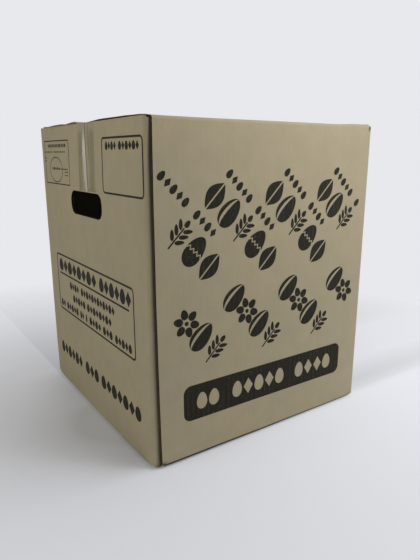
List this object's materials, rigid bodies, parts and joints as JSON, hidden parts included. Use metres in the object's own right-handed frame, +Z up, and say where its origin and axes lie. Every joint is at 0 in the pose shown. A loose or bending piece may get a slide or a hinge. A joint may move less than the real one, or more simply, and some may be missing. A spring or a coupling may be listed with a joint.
{
  "type": "egg box",
  "caption": "Closed corrugated shipping carton for trays of eggs, nearly cubic, with overlapping flaps taped shut top and bottom and a hand hole in each end.",
  "frame": {"origin": "middle of the underside, on the surface that the box stands on", "axes": "+Z up; +X to the right along the printed front panel; +Y from the front panel to the back panel, so the end panels with the hand holes face -X and +X"},
  "size_m": [0.3002, 0.305, 0.3536],
  "materials": {
    "board": "uncoated kraft liner, with faint lines of the flutes beneath",
    "clear_tape": "clear glossy packing film, slightly yellow, with lines along its length",
    "ink": "matt near-black flexographic ink, lying in the paper"
  },
  "bodies": {
    "root": {"carton": "board", "top_tape": "clear_tape", "bottom_tape": "clear_tape"}
  },
  "joints": []
}
